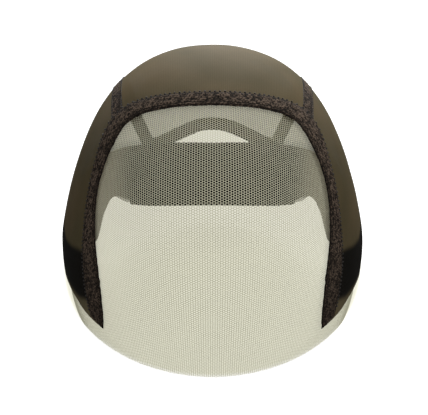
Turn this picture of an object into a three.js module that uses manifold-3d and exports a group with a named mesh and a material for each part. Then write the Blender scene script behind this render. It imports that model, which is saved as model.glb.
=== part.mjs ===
// Lace front wig cap, in millimetres: +Z up, the forehead towards -Y, the wearer's left ear towards +X.
// The origin is where the crown of the head touches the inside of the cap.

import * as THREE from 'three';
import { mergeVertices } from 'three/addons/utils/BufferGeometryUtils.js';
import Module from 'manifold-3d';

// Head that the cap is shaped over, measured from the middle of its widest level
const HEAD_HALF_WIDTH = 79.5;
const HEAD_FRONT_DEPTH = 95;
const HEAD_BACK_DEPTH = 96;
const HEAD_CROWN_HEIGHT = 104;
const HEAD_LOWER_DEPTH = 95;
const HEAD_ROUNDNESS = 2.14; // exponent of the form: 2 is an ellipsoid, more is squarer
const TEMPLE_TAPER = 0.087; // share of the width that the forehead loses and the back gains
const CROWN_PINCH = 0.068; // share of the width lost halfway up to the crown

// Cloth, from the skin outwards: velvet, lace, stretch mesh, elastic tape
const VELVET_THICKNESS = 1;
const LACE_THICKNESS = 1;
const MESH_THICKNESS = 1;
const TAPE_THICKNESS = 1;
const TAPE_SWELL = 0.3; // how much thicker a tape is along its middle
const LAYER_GAP = 0.35;
const PANEL_CLEARANCE = 1; // from a mesh panel's edge to the middle of the tape that covers it

const ARCH_TAPE_WIDTH = 11;
const SEAM_TAPE_WIDTH = 7.5;
const CROWN_EDGE_TAPE_WIDTH = 9.5;

// Angles of the pattern on the head, in degrees
const NAPE_BAND_END = 146; // azimuth, from the forehead round to the band's end
const GRIP_GAP_ANGLE = THREE.MathUtils.radToDeg(LAYER_GAP / HEAD_BACK_DEPTH);
const WING_END = 70; // azimuth of the lace's side edges
const WING_TOP = 5; // lift of the lace's edge where it is tucked under the side panel

// Longest side of a cloth facet, and of a tape facet along the tape
const CLOTH_FACET = 7.6;
const TAPE_FACET = 6.2;
const TAPE_FACETS_ACROSS = 4;

// How finely a line or the head form is sampled
const LENGTH_SAMPLES = 40;
const SHARE_SAMPLES = 400;
const LINE_STEP = 0.004; // share of a line's length, for its direction
const NORMAL_STEP = 0.002; // radians, for the head's normal
const WIDTH_ROUNDS = 4;

// Middle of the arch tape from its end at the hem to the top of the forehead, for one side.
// along: degrees from the forehead over the crown; aside: degrees towards the ear.
// width: share of ARCH_TAPE_WIDTH.
const ARCH_ROWS = [
  { along: 1.5, aside: 41.2, width: 0.84 },
  { along: 9, aside: 42.6, width: 0.98 },
  { along: 17, aside: 44, width: 1.06 },
  { along: 26, aside: 45.3, width: 1.1 },
  { along: 36, aside: 45.9, width: 1.06 },
  { along: 47, aside: 45.2, width: 0.96 },
  { along: 58.5, aside: 42.8, width: 0.89 },
  { along: 67, aside: 39.6, width: 0.86 },
  { along: 73.5, aside: 36, width: 0.86 },
  { along: 79, aside: 32.4, width: 0.88 },
  { along: 83, aside: 28.6, width: 0.89 },
  { along: 84.7, aside: 24.2, width: 0.84 },
  { along: 84.2, aside: 18.5, width: 0.78 },
  { along: 83.2, aside: 12.5, width: 0.75 },
  { along: 82.5, aside: 6.2, width: 0.74 },
  { along: 82.3, aside: 0, width: 0.74 },
];
const SEAM_START_ROW = 10; // row of the arch tape where the seam tape leaves it
const TUCK_ROW = 0.5; // place, in rows, where the lace's wing leaves the tape

// Middle of a seam tape from the arch tape over the crown and down to the hem at the nape
const SEAM_ROWS = [
  { along: 83, aside: 28.6 },
  { along: 92, aside: 28.7 },
  { along: 105, aside: 29.2 },
  { along: 120, aside: 29.6 },
  { along: 135, aside: 29.4 },
  { along: 150, aside: 28.6 },
  { along: 165, aside: 27.2 },
  { along: 183.5, aside: 22.6 },
  { along: 195, aside: 20.4 },
  { along: 207.5, aside: 19.2 },
];
const SEAM_AT_NAPE_ROW = 7; // row where a seam tape reaches the upper edge of the nape band

// Middle of the crown panel's arched rear edge, from a seam tape to the middle of the back
const CROWN_EDGE_ROWS = [
  { along: 183.5, aside: 22.8 },
  { along: 182.2, aside: 17.5 },
  { along: 180, aside: 11 },
  { along: 177.8, aside: 5 },
  { along: 176.8, aside: 0 },
];

// Lower edge of the cap from the tip at the temple, past the ear, to the seam tape at the nape.
// azimuth: degrees from the forehead round to the back; lift: degrees above the widest level.
const HEM_ROWS = [
  { azimuth: 41.5, lift: 1.4 },
  { azimuth: 50, lift: 0.4 },
  { azimuth: 60, lift: 0 },
  { azimuth: 70, lift: -2.8 },
  { azimuth: 80, lift: -7.6 },
  { azimuth: 90, lift: -13 },
  { azimuth: 100, lift: -18.4 },
  { azimuth: 110, lift: -23.4 },
  { azimuth: 118, lift: -26.8 },
  { azimuth: 123, lift: -27.4 },
  { azimuth: 128, lift: -24.6 },
  { azimuth: 133, lift: -20.2 },
  { azimuth: 138, lift: -17.6 },
  { azimuth: 142, lift: -18.2 },
  { azimuth: 146, lift: -22.4 },
  { azimuth: 152, lift: -25.2 },
  { azimuth: 160, lift: -27.2 },
];

// Lower edge of the lace from its side edge at the ear to the middle of the forehead
const LACE_HEM_ROWS = [
  { azimuth: WING_END, lift: -10 },
  { azimuth: 67.5, lift: -14 },
  { azimuth: 60, lift: -14.2 },
  { azimuth: 47, lift: -9.4 },
  { azimuth: 34, lift: -6 },
  { azimuth: 20, lift: -4 },
  { azimuth: 10, lift: -3.4 },
  { azimuth: 0, lift: -3.5 },
];

// Which share of the lace's upper outline faces which share of its lower edge, ear to middle
const LACE_MATCH_ROWS = [
  { upper: 0, lower: 0 },
  { upper: 0.17, lower: 0.28 },
  { upper: 0.34, lower: 0.45 },
  { upper: 0.52, lower: 0.59 },
  { upper: 0.7, lower: 0.71 },
  { upper: 0.8, lower: 0.79 },
  { upper: 0.9, lower: 0.9 },
  { upper: 1, lower: 1 },
];

// Velvet grip beside the temple and ear: its upper and lower edge, in degrees of lift
const SIDE_GRIP_ROWS = [
  { azimuth: 48, upper: 24, lower: 6.6 },
  { azimuth: 55, upper: 21.4, lower: 2.6 },
  { azimuth: 62, upper: 18.2, lower: 0.9 },
  { azimuth: 70, upper: 13.6, lower: -1.4 },
  { azimuth: 80, upper: 8.6, lower: -6 },
  { azimuth: 92, upper: 6.2, lower: -12.4 },
  { azimuth: 106, upper: 5.6, lower: -20 },
  { azimuth: 120, upper: 5.2, lower: -25.6 },
  { azimuth: 126, upper: 4.8, lower: -24.2 },
  { azimuth: 133, upper: 4.2, lower: -18.8 },
  { azimuth: 139, upper: 3.4, lower: -16.2 },
  { azimuth: NAPE_BAND_END - GRIP_GAP_ANGLE, upper: 1.7, lower: -20.8 },
];

// Velvet grip across the nape, one half: its straight upper and lower edge
const NAPE_BAND_ROWS = [
  { azimuth: NAPE_BAND_END, upper: 1.7, lower: -22.6 },
  { azimuth: 153, upper: -0.4, lower: -25.6 },
  { azimuth: 161, upper: -2.2, lower: -27.6 },
  { azimuth: 170, upper: -3.8, lower: -28.9 },
  { azimuth: 180, upper: -4.5, lower: -29.3 },
];

// Heights of the layers above the head
const LACE_INSIDE = VELVET_THICKNESS + LAYER_GAP;
const MESH_INSIDE = LACE_INSIDE + LACE_THICKNESS + LAYER_GAP;
const TAPE_INSIDE = MESH_INSIDE + MESH_THICKNESS + LAYER_GAP;
const SEAT_HEIGHT = HEAD_CROWN_HEIGHT + MESH_INSIDE;

// The wearer's sides, as the sign of X
const LEFT = 1;
const RIGHT = -1;

// Unit vector towards a place given over the crown: along from the forehead, aside to one ear
function overCrown(along, aside, side) {
  const turn = THREE.MathUtils.degToRad(along);
  const tilt = THREE.MathUtils.degToRad(aside);
  const reach = Math.cos(tilt);
  return new THREE.Vector3(side * Math.sin(tilt), -reach * Math.cos(turn), reach * Math.sin(turn));
}

// Unit vector towards a place given round the head: azimuth from the forehead, lift above the level
function roundHead(azimuth, lift, side) {
  const turn = THREE.MathUtils.degToRad(azimuth);
  const rise = THREE.MathUtils.degToRad(lift);
  const reach = Math.cos(rise);
  return new THREE.Vector3(side * reach * Math.sin(turn), -reach * Math.cos(turn), Math.sin(rise));
}

// Share of its full width that the head keeps at a point: less at the temples and above the ears
function widthShare(point) {
  const rise = THREE.MathUtils.clamp(point.z / HEAD_CROWN_HEIGHT, 0, 1);
  const taper = 1 + TEMPLE_TAPER * point.y / HEAD_FRONT_DEPTH;
  return taper * (1 - CROWN_PINCH * Math.sin(Math.PI * rise));
}

// Point of the head in a direction. Its width depends on where it lies, so it is found in rounds.
function headPoint(direction) {
  const depth = direction.y < 0 ? HEAD_FRONT_DEPTH : HEAD_BACK_DEPTH;
  const height = direction.z > 0 ? HEAD_CROWN_HEIGHT : HEAD_LOWER_DEPTH;
  const point = new THREE.Vector3();
  let width = 1;
  for (let round = 0; round < WIDTH_ROUNDS; round += 1) {
    const fill = Math.abs(direction.x / (width * HEAD_HALF_WIDTH)) ** HEAD_ROUNDNESS
      + Math.abs(direction.y / depth) ** HEAD_ROUNDNESS
      + Math.abs(direction.z / height) ** HEAD_ROUNDNESS;
    point.copy(direction).multiplyScalar(fill ** (-1 / HEAD_ROUNDNESS));
    width = widthShare(point);
  }
  return point;
}

function headNormal(direction) {
  const across = new THREE.Vector3().crossVectors(direction, Math.abs(direction.z) < 0.9
    ? new THREE.Vector3(0, 0, 1) : new THREE.Vector3(0, 1, 0)).normalize();
  const down = new THREE.Vector3().crossVectors(direction, across);
  const here = headPoint(direction);
  const first = headPoint(direction.clone().addScaledVector(across, NORMAL_STEP).normalize()).sub(here);
  const second = headPoint(direction.clone().addScaledVector(down, NORMAL_STEP).normalize()).sub(here);
  return first.cross(second).normalize();
}

// Point at a height above the head, in the cap's own frame
function clothPoint(direction, height) {
  const point = headPoint(direction).addScaledVector(headNormal(direction), height);
  point.z -= SEAT_HEIGHT;
  return point;
}

// Smooth line of directions through a table's rows
function lineThrough(directions) {
  return new THREE.CatmullRomCurve3(directions, false, 'catmullrom', 0.5);
}

function crownLine(rows, side) {
  return lineThrough(rows.map((row) => overCrown(row.along, row.aside, side)));
}

function levelLine(rows, column, side) {
  return lineThrough(rows.map((row) => roundHead(row.azimuth, row[column], side)));
}

// Rows of a right half, and behind its last row, which lies in the middle, the same for the left
function mirroredRows(rows) {
  const far = rows.slice(0, -1).reverse();
  return [...rows.map((row) => ({ ...row, side: RIGHT })), ...far.map((row) => ({ ...row, side: LEFT }))];
}

function lengthOf(line) {
  const points = line.getPoints(LENGTH_SAMPLES).map((direction) => headPoint(direction.normalize()));
  return points.slice(1).reduce((sum, point, index) => sum + point.distanceTo(points[index]), 0);
}

function facetsAlong(length, facet) {
  return Math.max(2, Math.ceil(length / facet));
}

// Value of a table's column at a share of the way down its rows
function columnAt(rows, column, share) {
  const place = THREE.MathUtils.clamp(share, 0, 1) * (rows.length - 1);
  const row = Math.min(Math.floor(place), rows.length - 2);
  return THREE.MathUtils.lerp(rows[row][column], rows[row + 1][column], place - row);
}

// Second column's value where the first column, which only rises, has the given value
function matchAt(rows, from, to, value) {
  const next = Math.max(1, rows.findIndex((row) => row[from] >= value));
  const before = rows[next - 1];
  const after = rows[next];
  const share = (value - before[from]) / (after[from] - before[from]);
  return THREE.MathUtils.lerp(before[to], after[to], share);
}

// Closed body between an inner and an outer grid of points, with its rim
function closedBody(pointAt, columns, rows) {
  const positions = [];
  const faces = [];
  const layer = (columns + 1) * (rows + 1);
  for (const outer of [0, 1]) {
    for (let column = 0; column <= columns; column += 1) {
      for (let row = 0; row <= rows; row += 1) {
        positions.push(...pointAt(column / columns, row / rows, outer).toArray());
      }
    }
  }
  const corner = (column, row, outer) => outer * layer + column * (rows + 1) + row;
  const addQuad = (a, b, c, d) => faces.push(a, b, c, a, c, d);
  for (let column = 0; column < columns; column += 1) {
    for (let row = 0; row < rows; row += 1) {
      addQuad(corner(column, row, 1), corner(column + 1, row, 1),
        corner(column + 1, row + 1, 1), corner(column, row + 1, 1));
      addQuad(corner(column, row, 0), corner(column, row + 1, 0),
        corner(column + 1, row + 1, 0), corner(column + 1, row, 0));
    }
    addQuad(corner(column, 0, 0), corner(column + 1, 0, 0), corner(column + 1, 0, 1), corner(column, 0, 1));
    addQuad(corner(column, rows, 1), corner(column + 1, rows, 1),
      corner(column + 1, rows, 0), corner(column, rows, 0));
  }
  for (let row = 0; row < rows; row += 1) {
    addQuad(corner(0, row, 1), corner(0, row + 1, 1), corner(0, row + 1, 0), corner(0, row, 0));
    addQuad(corner(columns, row, 0), corner(columns, row + 1, 0),
      corner(columns, row + 1, 1), corner(columns, row, 1));
  }
  return outwardFacing(positions, faces);
}

function outwardFacing(positions, faces) {
  const vertex = (index) => new THREE.Vector3().fromArray(positions, 3 * index);
  let volume = 0;
  for (let face = 0; face < faces.length; face += 3) {
    const [a, b, c] = faces.slice(face, face + 3).map(vertex);
    volume += a.dot(b.cross(c)) / 6;
  }
  const geometry = new THREE.BufferGeometry();
  geometry.setAttribute('position', new THREE.Float32BufferAttribute(positions, 3));
  geometry.setIndex(volume > 0 ? faces : faces.reverse());
  geometry.computeVertexNormals();
  return geometry;
}

// Cloth whose middle surface is given as a direction for each pair of shares
function cloth(directionAt, lengths, inside, thickness) {
  const columns = facetsAlong(lengths[0], CLOTH_FACET);
  const rows = facetsAlong(lengths[1], CLOTH_FACET);
  const pointAt = (u, v, outer) => clothPoint(directionAt(u, v), inside + outer * thickness);
  return closedBody(pointAt, columns, rows);
}

// Direction between two, at a share of the angle between them
function between(first, second, share) {
  const angle = first.angleTo(second);
  const from = first.clone().multiplyScalar(Math.sin((1 - share) * angle));
  return from.addScaledVector(second, Math.sin(share * angle)).normalize();
}

// Direction inside four border lines: near and far run alike, and so do start and end
function insideBorders(near, far, start, end, u, v) {
  const corners = near.at(0).clone().multiplyScalar((1 - u) * (1 - v))
    .addScaledVector(near.at(1), u * (1 - v))
    .addScaledVector(far.at(0), (1 - u) * v)
    .addScaledVector(far.at(1), u * v);
  return near.at(u).clone().multiplyScalar(1 - v)
    .addScaledVector(far.at(u), v)
    .addScaledVector(start.at(v), 1 - u)
    .addScaledVector(end.at(v), u)
    .sub(corners)
    .normalize();
}

// Place beside a line, at a distance in millimetres on the head, to the left of its run
function beside(line, share, distance) {
  const here = line.getPointAt(share).normalize();
  const behind = headPoint(line.getPointAt(Math.max(0, share - LINE_STEP)).normalize());
  const ahead = headPoint(line.getPointAt(Math.min(1, share + LINE_STEP)).normalize());
  const left = headNormal(here).cross(ahead.sub(behind).normalize());
  return headPoint(here).addScaledVector(left, distance).normalize();
}

// Part of a line from one share to another, moved sideways, as a border that runs from 0 to 1
function borderOf(line, from, to, distance) {
  return { at: (share) => beside(line, THREE.MathUtils.lerp(from, to, share), distance) };
}

// Elastic tape along a line, a little thicker along its middle
function tape(line, widthAt, grow) {
  const columns = facetsAlong(lengthOf(line), TAPE_FACET);
  const pointAt = (u, v, outer) => {
    const across = 2 * v - 1;
    const half = widthAt(u) / 2 + grow;
    const swell = TAPE_SWELL * (1 - across * across);
    const height = outer ? TAPE_INSIDE + TAPE_THICKNESS + swell + grow : TAPE_INSIDE - grow;
    return clothPoint(beside(line, u, across * half), height);
  };
  return closedBody(pointAt, columns, TAPE_FACETS_ACROSS);
}

const wasm = await Module();
wasm.setup();

function solidOf(geometry) {
  const plain = geometry.clone();
  plain.deleteAttribute('normal');
  const merged = mergeVertices(plain);
  return new wasm.Manifold(new wasm.Mesh({
    numProp: 3,
    vertProperties: new Float32Array(merged.attributes.position.array),
    triVerts: new Uint32Array(merged.index.array),
  }));
}

// Geometry with the space of other bodies cut away
function cutBy(geometry, cutters) {
  const rest = cutters.reduce((solid, cutter) => solid.subtract(solidOf(cutter)), solidOf(geometry));
  const mesh = rest.getMesh();
  const cut = new THREE.BufferGeometry();
  cut.setAttribute('position', new THREE.Float32BufferAttribute(mesh.vertProperties, mesh.numProp));
  cut.setIndex(new THREE.Uint32BufferAttribute(mesh.triVerts, 1));
  cut.computeVertexNormals();
  return cut;
}

const ARCH_BOTH_ROWS = mirroredRows(ARCH_ROWS);
const ARCH_LINE = lineThrough(ARCH_BOTH_ROWS.map((row) => overCrown(row.along, row.aside, row.side)));
const CROWN_EDGE_BOTH_ROWS = mirroredRows(CROWN_EDGE_ROWS);
const CROWN_EDGE_LINE = lineThrough(
  CROWN_EDGE_BOTH_ROWS.map((row) => overCrown(row.along, row.aside, row.side)));

// Share of a line's length reached at one of its rows
function shareAtRow(line, row, rowCount) {
  const lengths = line.getLengths(SHARE_SAMPLES);
  return lengths[Math.round(SHARE_SAMPLES * row / (rowCount - 1))] / lengths[SHARE_SAMPLES];
}

// Share of a line's rows passed at a share of its length
function rowShareAt(line, share) {
  const lengths = line.getLengths(SHARE_SAMPLES);
  const reached = lengths.findIndex((length) => length >= share * lengths[SHARE_SAMPLES]);
  return Math.max(0, reached) / SHARE_SAMPLES;
}

const MIDDLE_SHARE = 0.5;
const TUCK_SHARE = shareAtRow(ARCH_LINE, TUCK_ROW, ARCH_BOTH_ROWS.length);
const CORNER_SHARE = shareAtRow(ARCH_LINE, SEAM_START_ROW, ARCH_BOTH_ROWS.length);
const NAPE_SHARE = shareAtRow(crownLine(SEAM_ROWS, RIGHT), SEAM_AT_NAPE_ROW, SEAM_ROWS.length);

// Share of the arch tape's line on one side, counted from that side's end
function archShare(share, side) {
  return side === RIGHT ? share : 1 - share;
}

function archTape(grow) {
  const widthAt = (share) => (
    ARCH_TAPE_WIDTH * columnAt(ARCH_BOTH_ROWS, 'width', rowShareAt(ARCH_LINE, share)));
  return tape(ARCH_LINE, widthAt, grow);
}

function seamTape(side, grow) {
  const whole = tape(crownLine(SEAM_ROWS, side), () => SEAM_TAPE_WIDTH, grow);
  return cutBy(whole, [archTape(LAYER_GAP)]);
}

function crownEdgeTape() {
  const whole = tape(CROWN_EDGE_LINE, () => CROWN_EDGE_TAPE_WIDTH, 0);
  return cutBy(whole, [seamTape(RIGHT, LAYER_GAP), seamTape(LEFT, LAYER_GAP)]);
}

// Mesh over the crown, from the arch tape back to its arched rear edge
function crownPanel() {
  const start = borderOf(crownLine(SEAM_ROWS, RIGHT), 0, NAPE_SHARE, -PANEL_CLEARANCE);
  const finish = borderOf(crownLine(SEAM_ROWS, LEFT), 0, NAPE_SHARE, PANEL_CLEARANCE);
  const front = fittedLine(ARCH_LINE, CORNER_SHARE, 1 - CORNER_SHARE, start.at(0), finish.at(0));
  const rear = fittedLine(CROWN_EDGE_LINE, 0, 1, start.at(1), finish.at(1));
  const seamLength = lengthOf(crownLine(SEAM_ROWS, RIGHT)) * NAPE_SHARE;
  const lengths = [lengthOf(ARCH_LINE) * (1 - 2 * CORNER_SHARE), seamLength];
  const directionAt = (u, v) => insideBorders(front, rear, start, finish, u, v);
  return cloth(directionAt, lengths, MESH_INSIDE, MESH_THICKNESS);
}

// Part of a line as a border, shifted so that it starts and ends in two given places
function fittedLine(line, from, to, first, last) {
  const placeAt = (share) => line.getPointAt(THREE.MathUtils.lerp(from, to, share)).normalize();
  const firstShift = first.clone().sub(placeAt(0));
  const lastShift = last.clone().sub(placeAt(1));
  return {
    at: (share) => placeAt(share)
      .addScaledVector(firstShift, 1 - share)
      .addScaledVector(lastShift, share)
      .normalize(),
  };
}

// Mesh beside and behind the ear, between the arch tape, the seam tape and the hem
function sidePanel(side) {
  const seam = crownLine(SEAM_ROWS, side);
  const hem = levelLine(HEM_ROWS, 'lift', side);
  const outwards = -side * PANEL_CLEARANCE;
  const front = borderOf(ARCH_LINE, archShare(0, side), archShare(CORNER_SHARE, side), 0);
  const top = borderOf(seam, 0, NAPE_SHARE, outwards);
  const rear = borderOf(seam, 1, NAPE_SHARE, outwards);
  const bottom = fittedLine(hem, 0, 1, front.at(0), rear.at(0));
  const cornerShift = front.at(1).sub(top.at(0));
  const topFitted = {
    at: (share) => top.at(share).addScaledVector(cornerShift, 1 - share).normalize(),
  };
  const lengths = [lengthOf(hem), lengthOf(ARCH_LINE) * CORNER_SHARE];
  const directionAt = (u, v) => insideBorders(bottom, topFitted, front, rear, u, v);
  return cloth(directionAt, lengths, MESH_INSIDE, MESH_THICKNESS);
}

// Lace from under the arch tape down to its free edge, with a wing tucked under each side panel
function laceFront() {
  const hemLength = lengthOf(levelLine(LACE_HEM_ROWS, 'lift', RIGHT));
  const wingTop = { azimuth: WING_END, lift: WING_TOP };
  const tuck = beside(ARCH_LINE, TUCK_SHARE, 0);
  const wingLength = roundHead(wingTop.azimuth, wingTop.lift, RIGHT).angleTo(tuck) * HEAD_FRONT_DEPTH;
  const archLength = lengthOf(ARCH_LINE) * (MIDDLE_SHARE - TUCK_SHARE);
  const wingShare = wingLength / (wingLength + archLength);
  const upperAt = (share, side) => {
    if (share < wingShare) {
      const inner = ARCH_LINE.getPointAt(archShare(TUCK_SHARE, side)).normalize();
      return between(roundHead(wingTop.azimuth, wingTop.lift, side), inner, share / wingShare);
    }
    const up = (share - wingShare) / (1 - wingShare);
    const place = THREE.MathUtils.lerp(TUCK_SHARE, MIDDLE_SHARE, up);
    return ARCH_LINE.getPointAt(archShare(place, side)).normalize();
  };
  const directionAt = (u, v) => {
    const side = u < MIDDLE_SHARE ? RIGHT : LEFT;
    const share = 1 - Math.abs(2 * u - 1);
    const lower = levelLine(LACE_HEM_ROWS, 'lift', side)
      .getPointAt(matchAt(LACE_MATCH_ROWS, 'upper', 'lower', share)).normalize();
    return between(lower, upperAt(share, side), v);
  };
  const middleLength = lengthOf(ARCH_LINE) * CORNER_SHARE;
  return cloth(directionAt, [2 * hemLength, middleLength], LACE_INSIDE, LACE_THICKNESS);
}

// Velvet between the upper and lower lifts of a table, whose rows each give a side
function velvet(rows) {
  const upper = lineThrough(rows.map((row) => roundHead(row.azimuth, row.upper, row.side)));
  const lower = lineThrough(rows.map((row) => roundHead(row.azimuth, row.lower, row.side)));
  const directionAt = (u, v) => between(lower.getPoint(u).normalize(), upper.getPoint(u).normalize(), v);
  const height = headPoint(directionAt(MIDDLE_SHARE, 0)).distanceTo(headPoint(directionAt(MIDDLE_SHARE, 1)));
  return cloth(directionAt, [lengthOf(upper), height], 0, VELVET_THICKNESS);
}

function sideGrip(side) {
  return velvet(SIDE_GRIP_ROWS.map((row) => ({ ...row, side })));
}

function napeBand() {
  return velvet(mirroredRows(NAPE_BAND_ROWS));
}

const CLOTHS = {
  lace: { color: 0xcfcdb4, roughness: 0.8 },
  mesh: { color: 0x57503f, roughness: 0.85 },
  tape: { color: 0x3a312a, roughness: 0.9 },
  velvet: { color: 0x14110e, roughness: 1 },
};

const cap = new THREE.Group();

function addPiece(name, geometry, colours) {
  const piece = new THREE.Mesh(geometry, new THREE.MeshStandardMaterial(colours));
  piece.name = name;
  cap.add(piece);
}

addPiece('lace_front', laceFront(), CLOTHS.lace);
addPiece('arch_tape', archTape(0), CLOTHS.tape);
addPiece('crown_panel', crownPanel(), CLOTHS.mesh);
addPiece('crown_edge_tape', crownEdgeTape(), CLOTHS.tape);
addPiece('nape_band', napeBand(), CLOTHS.velvet);
for (const [name, side] of [['left', LEFT], ['right', RIGHT]]) {
  addPiece(`side_panel_${name}`, sidePanel(side), CLOTHS.mesh);
  addPiece(`seam_tape_${name}`, seamTape(side, 0), CLOTHS.tape);
  addPiece(`side_grip_${name}`, sideGrip(side), CLOTHS.velvet);
}

export default cap;
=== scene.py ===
"""Looks of the lace front wig cap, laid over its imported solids, in metres."""

import math

import bmesh
import bpy
import numpy as np
from bpy.props import FloatProperty, FloatVectorProperty, IntProperty, PointerProperty
from mathutils import Matrix, Vector


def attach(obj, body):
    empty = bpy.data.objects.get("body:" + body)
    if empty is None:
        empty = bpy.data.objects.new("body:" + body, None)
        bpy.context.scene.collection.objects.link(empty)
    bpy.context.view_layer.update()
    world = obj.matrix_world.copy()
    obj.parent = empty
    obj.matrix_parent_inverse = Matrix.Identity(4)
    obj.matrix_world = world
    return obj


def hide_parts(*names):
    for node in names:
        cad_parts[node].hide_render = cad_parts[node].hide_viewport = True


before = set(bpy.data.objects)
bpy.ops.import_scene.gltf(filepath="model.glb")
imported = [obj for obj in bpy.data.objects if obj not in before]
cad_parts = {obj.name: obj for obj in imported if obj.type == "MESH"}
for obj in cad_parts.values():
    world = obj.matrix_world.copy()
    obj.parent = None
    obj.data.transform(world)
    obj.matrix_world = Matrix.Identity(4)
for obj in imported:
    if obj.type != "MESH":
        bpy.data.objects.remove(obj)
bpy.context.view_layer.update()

bl_info = {
    "name": "Wig cap",
    "version": (1, 0, 0),
    "blender": (4, 5, 0),
    "location": "View3D > Sidebar > Wig Cap",
    "description": "Builds the net, mesh panels, tapes and velvet of a lace front wig cap",
    "category": "Add Mesh",
}

# Head that the cap is shaped over, measured from the middle of its widest level
HEAD_HALF_WIDTH = 0.0795
HEAD_FRONT_DEPTH = 0.095
HEAD_BACK_DEPTH = 0.096
HEAD_CROWN_HEIGHT = 0.104
HEAD_LOWER_DEPTH = 0.095
HEAD_ROUNDNESS = 2.14
TEMPLE_TAPER = 0.087
CROWN_PINCH = 0.068
WIDTH_ROUNDS = 4

# Layers above the head: velvet, net, mesh, tape
LAYER_GAP = 0.00035
CLOTH_LAYER = 0.001
LACE_INSIDE = CLOTH_LAYER + LAYER_GAP
MESH_INSIDE = LACE_INSIDE + CLOTH_LAYER + LAYER_GAP
SEAT_HEIGHT = HEAD_CROWN_HEIGHT + MESH_INSIDE

LEFT = 1  # the wearer's left ear is towards +X
RIGHT = -1
LINE_SAMPLES = 480
NORMAL_STEP = 0.002
LINE_STEP = 0.004

NAPE_BAND_END = 146
WING_END = 70
WING_TOP = 5

# Middle of the arch tape from the temple to the top of the forehead: along, aside, width share
ARCH_ROWS = (
    (1.5, 40.6, 1.0),
    (9, 41.8, 1.3),
    (17, 43.2, 1.5),
    (26, 44.4, 1.62),
    (36, 45.1, 1.54),
    (47, 44.3, 1.24),
    (58.5, 42.0, 1.06),
    (67, 38.9, 1.02),
    (73.5, 35.3, 1.1),
    (79, 31.9, 1.36),
    (83, 28.6, 1.47),
    (84.7, 24.2, 1.2),
    (84.2, 18.5, 0.95),
    (83.2, 12.5, 0.89),
    (82.5, 6.2, 0.87),
    (82.3, 0, 0.87),
)
SEAM_START_ROW = 10
TUCK_ROW = 0.5

# Middle of a seam tape from the arch tape down to the nape: along, aside
SEAM_ROWS = (
    (83, 28.6),
    (92, 28.7),
    (105, 29.2),
    (120, 29.6),
    (135, 29.4),
    (150, 28.6),
    (165, 27.2),
    (183.5, 22.6),
    (195, 20.4),
    (207.5, 19.2),
)
SEAM_AT_NAPE_ROW = 7

# Middle of the crown panel's rear edge from a seam tape to the middle of the back: along, aside
CROWN_EDGE_ROWS = ((183.5, 22.8), (182.8, 17.5), (180.1, 11), (177.6, 5), (177, 0))

# Lower edge of the side panel from the temple to the nape: azimuth, lift
HEM_ROWS = (
    (41.5, 1.4),
    (50, 0.4),
    (60, 0),
    (70, -2.8),
    (80, -7.6),
    (90, -13),
    (100, -18.4),
    (110, -23.4),
    (118, -26.8),
    (123, -27.4),
    (128, -24.6),
    (133, -20.2),
    (138, -17.6),
    (142, -18.2),
    (146, -22.4),
    (152, -25.2),
    (160, -27.2),
)

# Lower edge of the lace from the ear to the middle of the forehead: azimuth, lift
LACE_HEM_ROWS = (
    (WING_END, -10),
    (67.5, -14),
    (60, -14.2),
    (47, -9.4),
    (34, -6),
    (20, -4),
    (10, -3.4),
    (0, -3.5),
)

# Side grip: azimuth, upper lift, lower lift
SIDE_GRIP_ROWS = (
    (48, 24, 6.6),
    (55, 21.4, 2.6),
    (62, 18.2, 0.9),
    (70, 13.6, -1.4),
    (80, 8.6, -6),
    (92, 6.2, -12.4),
    (106, 5.6, -20),
    (120, 5.2, -25.6),
    (126, 4.8, -24.2),
    (133, 4.2, -18.8),
    (139, 3.4, -16.2),
    (NAPE_BAND_END, 1.7, -20.8),
)

# Nape band, one half: azimuth, upper lift, lower lift
NAPE_BAND_ROWS = (
    (NAPE_BAND_END, 1.7, -22.6),
    (153, -0.4, -25.6),
    (161, -2.2, -27.6),
    (170, -3.8, -28.9),
    (180, -4.5, -29.3),
)

# Angle over which the dark of a side grip fades in through the mesh
BACKED_EDGE = 3

# The net lies flat in a map of the head around this place over the forehead
NET_MIDDLE_ALONG = 40
NET_RADIUS_ACROSS = 0.083
NET_RADIUS_ALONG = 0.0985


def unit(vectors):
    return vectors / np.linalg.norm(vectors, axis=-1, keepdims=True)


def over_crown(along, aside, side):
    """Direction of a place given over the crown: along from the forehead, aside to one ear."""
    turn = np.radians(along)
    tilt = np.radians(aside)
    return np.stack(
        [side * np.sin(tilt), -np.cos(tilt) * np.cos(turn), np.cos(tilt) * np.sin(turn)], axis=-1
    )


def round_head(azimuth, lift, side):
    """Direction of a place given round the head, by its azimuth and its lift."""
    turn = np.radians(azimuth)
    rise = np.radians(lift)
    return np.stack(
        [side * np.cos(rise) * np.sin(turn), -np.cos(rise) * np.cos(turn), np.sin(rise)], axis=-1
    )


def width_share(points):
    rise = np.clip(points[:, 2] / HEAD_CROWN_HEIGHT, 0, 1)
    taper = 1 + TEMPLE_TAPER * points[:, 1] / HEAD_FRONT_DEPTH
    return taper * (1 - CROWN_PINCH * np.sin(math.pi * rise))


def head_points(directions):
    depth = np.where(directions[:, 1] < 0, HEAD_FRONT_DEPTH, HEAD_BACK_DEPTH)
    height = np.where(directions[:, 2] > 0, HEAD_CROWN_HEIGHT, HEAD_LOWER_DEPTH)
    width = np.ones(len(directions))
    for _ in range(WIDTH_ROUNDS):
        sizes = np.stack([width * HEAD_HALF_WIDTH, depth, height], axis=-1)
        fill = (np.abs(directions / sizes) ** HEAD_ROUNDNESS).sum(axis=1)
        points = directions * (fill ** (-1 / HEAD_ROUNDNESS))[:, None]
        width = width_share(points)
    return points


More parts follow.
